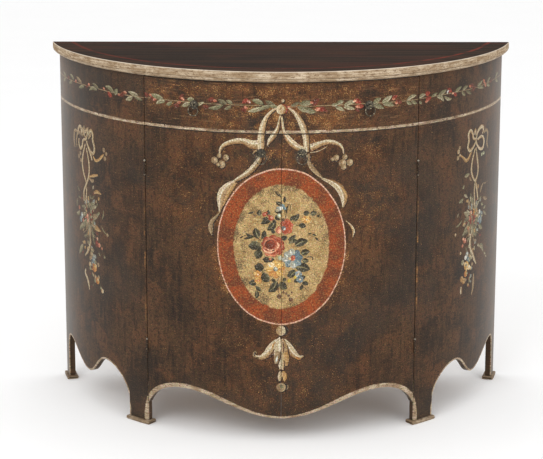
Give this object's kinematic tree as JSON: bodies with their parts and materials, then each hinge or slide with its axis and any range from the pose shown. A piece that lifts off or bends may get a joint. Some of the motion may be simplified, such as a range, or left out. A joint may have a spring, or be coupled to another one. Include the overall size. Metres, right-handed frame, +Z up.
{
  "type": "demilune cabinet",
  "caption": "Half-round painted cabinet with a bowed drawer over two bent doors, shaped aprons, block feet, butt hinges and ring pulls.",
  "frame": {"origin": "on the floor, at the middle of the bounding box's underside", "axes": "+X along the straight back towards the cabinet's right as seen from the front, +Y towards the flat back, +Z up; the bowed front faces -Y"},
  "size_m": [1.2, 0.53, 0.915],
  "materials": {
    "top_paint": "very dark brown paint, rubbed satin, with a red line inside the edge",
    "dark_paint": "dark brown distressed paint with painted flowers, ribbons and a medallion",
    "pale_paint": "worn ivory paint with brown speckle",
    "bare_wood": "plain unpainted softwood, darkened by age",
    "dark_iron": "dark, painted over in part",
    "old_brass": "dark aged brass"
  },
  "bodies": {
    "case": {"top_board": "top_paint", "top_edge_moulding": "pale_paint", "left_side_panel": "dark_paint", "left_front_post": "bare_wood", "left_rear_post": "bare_wood", "left_back_board": "bare_wood", "left_shelf_cleat": "bare_wood", "left_drawer_guide": "bare_wood", "left_front_foot_pad": "pale_paint", "left_rear_foot_pad": "pale_paint", "left_door_catch": "dark_iron", "left_upper_hinge_fixed_leaf": "dark_iron", "left_upper_hinge_pin": "dark_iron", "left_lower_hinge_fixed_leaf": "dark_iron", "left_lower_hinge_pin": "dark_iron", "right_side_panel": "dark_paint", "right_front_post": "bare_wood", "right_rear_post": "bare_wood", "right_back_board": "bare_wood", "right_shelf_cleat": "bare_wood", "right_drawer_guide": "bare_wood", "right_front_foot_pad": "pale_paint", "right_rear_foot_pad": "pale_paint", "right_door_catch": "dark_iron", "right_upper_hinge_fixed_leaf": "dark_iron", "right_upper_hinge_pin": "dark_iron", "right_lower_hinge_fixed_leaf": "dark_iron", "right_lower_hinge_pin": "dark_iron", "centre_back_board": "bare_wood", "bottom_board": "bare_wood", "divider_board": "bare_wood", "shelf": "bare_wood", "back_shelf_cleat": "bare_wood", "top_front_rail": "bare_wood", "top_back_rail": "bare_wood"},
    "drawer": {"drawer_front": "dark_paint", "drawer_left_side": "bare_wood", "drawer_right_side": "bare_wood", "drawer_back": "bare_wood", "drawer_bottom": "bare_wood", "left_drawer_pull_rosette": "old_brass", "left_drawer_pull_eye": "old_brass", "right_drawer_pull_rosette": "old_brass", "right_drawer_pull_eye": "old_brass"},
    "left_door_leaf": {"left_door": "dark_paint", "left_upper_hinge_door_leaf": "dark_iron", "left_lower_hinge_door_leaf": "dark_iron", "left_door_pull_rosette": "old_brass", "left_door_pull_eye": "old_brass"},
    "right_door_leaf": {"right_door": "dark_paint", "right_upper_hinge_door_leaf": "dark_iron", "right_lower_hinge_door_leaf": "dark_iron", "right_door_pull_rosette": "old_brass", "right_door_pull_eye": "old_brass"},
    "left_drawer_ring": {"left_drawer_pull_ring": "old_brass"},
    "left_door_ring": {"left_door_pull_ring": "old_brass"},
    "right_drawer_ring": {"right_drawer_pull_ring": "old_brass"},
    "right_door_ring": {"right_door_pull_ring": "old_brass"}
  },
  "joints": [
    {"name": "drawer_slide", "type": "slide", "parent": "case", "child": "drawer", "axis": [0, -1, 0], "range_m": [0, 0.28]},
    {"name": "left_door_hinge", "type": "hinge", "parent": "case", "child": "left_door_leaf", "pos_m": [-0.33358, -0.13477, 0.433], "axis": [0, 0, -1], "range_deg": [0, 170]},
    {"name": "right_door_hinge", "type": "hinge", "parent": "case", "child": "right_door_leaf", "pos_m": [0.33358, -0.13477, 0.433], "axis": [0, 0, 1], "range_deg": [0, 170]},
    {"name": "left_drawer_ring_swing", "type": "hinge", "parent": "drawer", "child": "left_drawer_ring", "pos_m": [-0.21099, -0.21188, 0.8267], "axis": [-0.9212, 0.389, 0], "range_deg": [0, 150]},
    {"name": "left_door_ring_swing", "type": "hinge", "parent": "left_door_leaf", "child": "left_door_ring", "pos_m": [-0.04908, -0.25273, 0.7172], "axis": [-0.9958, 0.0921, 0], "range_deg": [0, 150]},
    {"name": "right_drawer_ring_swing", "type": "hinge", "parent": "drawer", "child": "right_drawer_ring", "pos_m": [0.21099, -0.21188, 0.8267], "axis": [-0.9212, -0.389, 0], "range_deg": [0, 150]},
    {"name": "right_door_ring_swing", "type": "hinge", "parent": "right_door_leaf", "child": "right_door_ring", "pos_m": [0.04908, -0.25273, 0.7172], "axis": [-0.9958, -0.0921, 0], "range_deg": [0, 150]}
  ]
}
